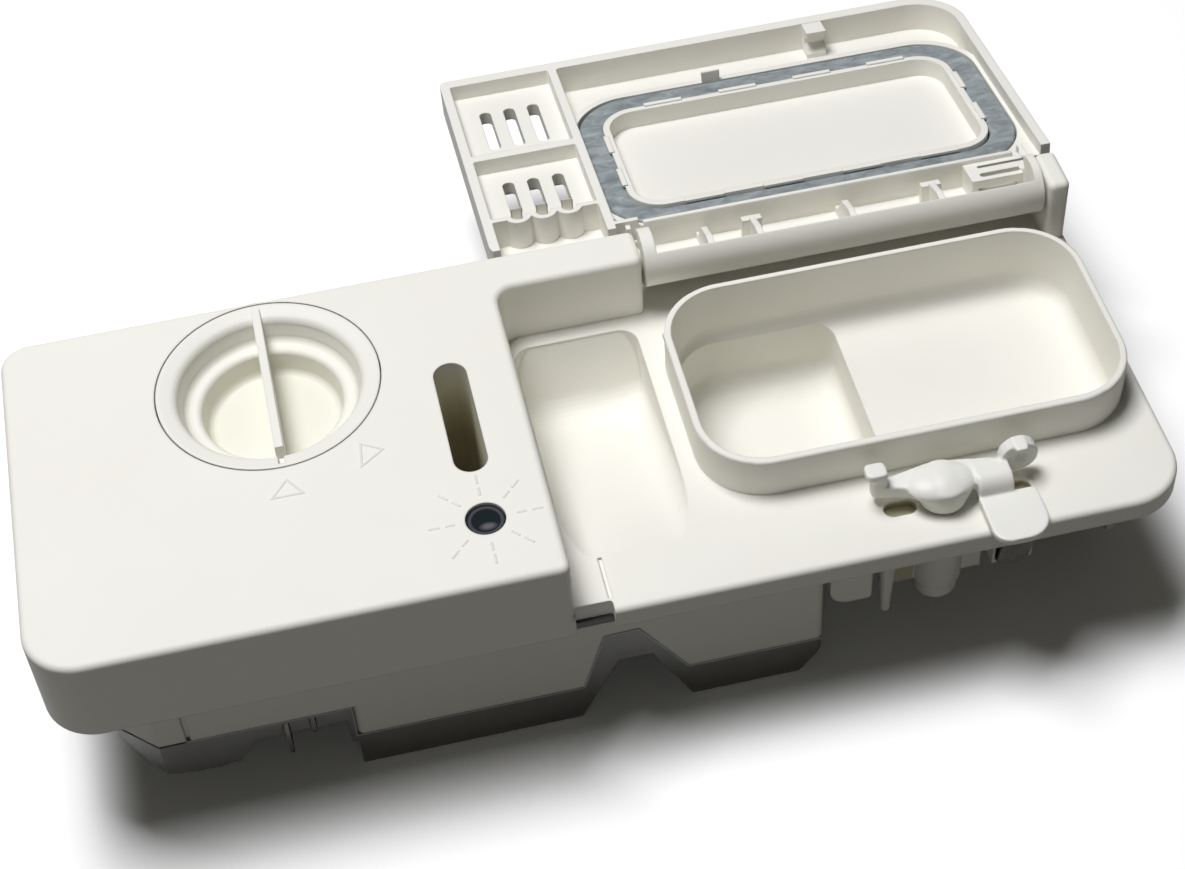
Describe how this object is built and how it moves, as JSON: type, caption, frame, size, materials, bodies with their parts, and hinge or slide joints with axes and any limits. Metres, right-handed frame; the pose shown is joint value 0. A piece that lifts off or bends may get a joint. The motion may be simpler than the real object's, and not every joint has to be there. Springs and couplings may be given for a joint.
{
  "type": "dishwasher detergent dispenser",
  "caption": "Dishwasher door dispenser with open sprung lid on a seal ring, detergent cup, pre-wash chute, rinse-aid cap, swivel latch and translucent rear tank.",
  "frame": {"origin": "on the sealing rim of the front, at the middle of its lower long side, where the front rests on the door panel", "axes": "+X along the length from the rinse-aid side to the detergent side, +Y across to the hinge side, +Z out of the door into the wash chamber"},
  "size_m": [0.2313, 0.1675, 0.0568],
  "materials": {
    "ivory": "fine moulded satin, warm white",
    "white": "smooth low-friction plastic",
    "smoke": "smoke-tinted translucent plastic",
    "lens": "dark clear light guide",
    "grey_silicone": "matt blue-grey soft ring",
    "dark_rubber": "matt dark rubber",
    "steel": "bright spring steel",
    "zinc_steel": "zinc-plated soft iron",
    "copper": "enamelled copper wire",
    "black": "glass-filled black plastic",
    "float_foam": "foamed float plastic"
  },
  "bodies": {
    "housing": {"front_housing": "ivory", "reservoir_cover": "smoke", "sight_lens": "lens", "door_seal": "dark_rubber", "mounting_clips": "steel", "level_switch": "black", "level_switch_blades": "steel", "latch_shaft_seal": "dark_rubber", "coil_yoke": "zinc_steel", "coil_bobbin": "black", "coil_winding": "copper", "coil_blades": "steel", "yoke_screws": "steel", "dosing_seal": "dark_rubber", "outlet_valve": "dark_rubber", "lid_spring": "steel", "latch_spring": "steel", "armature_spring": "steel", "dosing_spring": "steel"},
    "lid": {"lid_shell": "ivory", "lid_seal": "grey_silicone"},
    "cap": {"rinse_cap": "ivory", "cap_seal": "dark_rubber"},
    "latch": {"latch_lever": "white", "cam_lever": "white", "shaft_clip": "steel"},
    "plunger": {"armature": "zinc_steel", "armature_rod": "white"},
    "dosing": {"dosing_rod": "white"},
    "float": {"level_float": "float_foam"}
  },
  "joints": [
    {"name": "lid_hinge", "type": "hinge", "parent": "housing", "child": "lid", "pos_m": [0.065, 0.08195, 0.0155], "axis": [1, 0, 0], "range_deg": [0, 189], "stiffness_Nm_per_rad": 0.02, "springref_deg": -28.65},
    {"name": "cap_turn", "type": "hinge", "parent": "housing", "child": "cap", "pos_m": [-0.0615, 0.06125, 0.018], "axis": [0, 0, 1], "range_deg": [0, 36]},
    {"name": "latch_swing", "type": "hinge", "parent": "housing", "child": "latch", "pos_m": [0.0658, 0.01025, 0.005], "axis": [0, 0, 1], "range_deg": [-6.6, 6.1]},
    {"name": "plunger_slide", "type": "slide", "parent": "housing", "child": "plunger", "axis": [1, 0, 0], "range_m": [-0.00188, 0.00204], "stiffness_N_per_m": 60, "deforming": ["armature_spring"]},
    {"name": "dosing_slide", "type": "slide", "parent": "housing", "child": "dosing", "axis": [1, 0, 0], "range_m": [-0.0019, 0.00208], "deforming": ["dosing_spring"]},
    {"name": "float_rise", "type": "slide", "parent": "housing", "child": "float", "axis": [0, 0, 1], "range_m": [0, 0.012]}
  ],
  "couplings": [
    {"joint": "latch_swing", "follows": "plunger_slide", "rad_per_m": -55.556},
    {"joint": "dosing_slide", "follows": "plunger_slide", "ratio": 1}
  ]
}
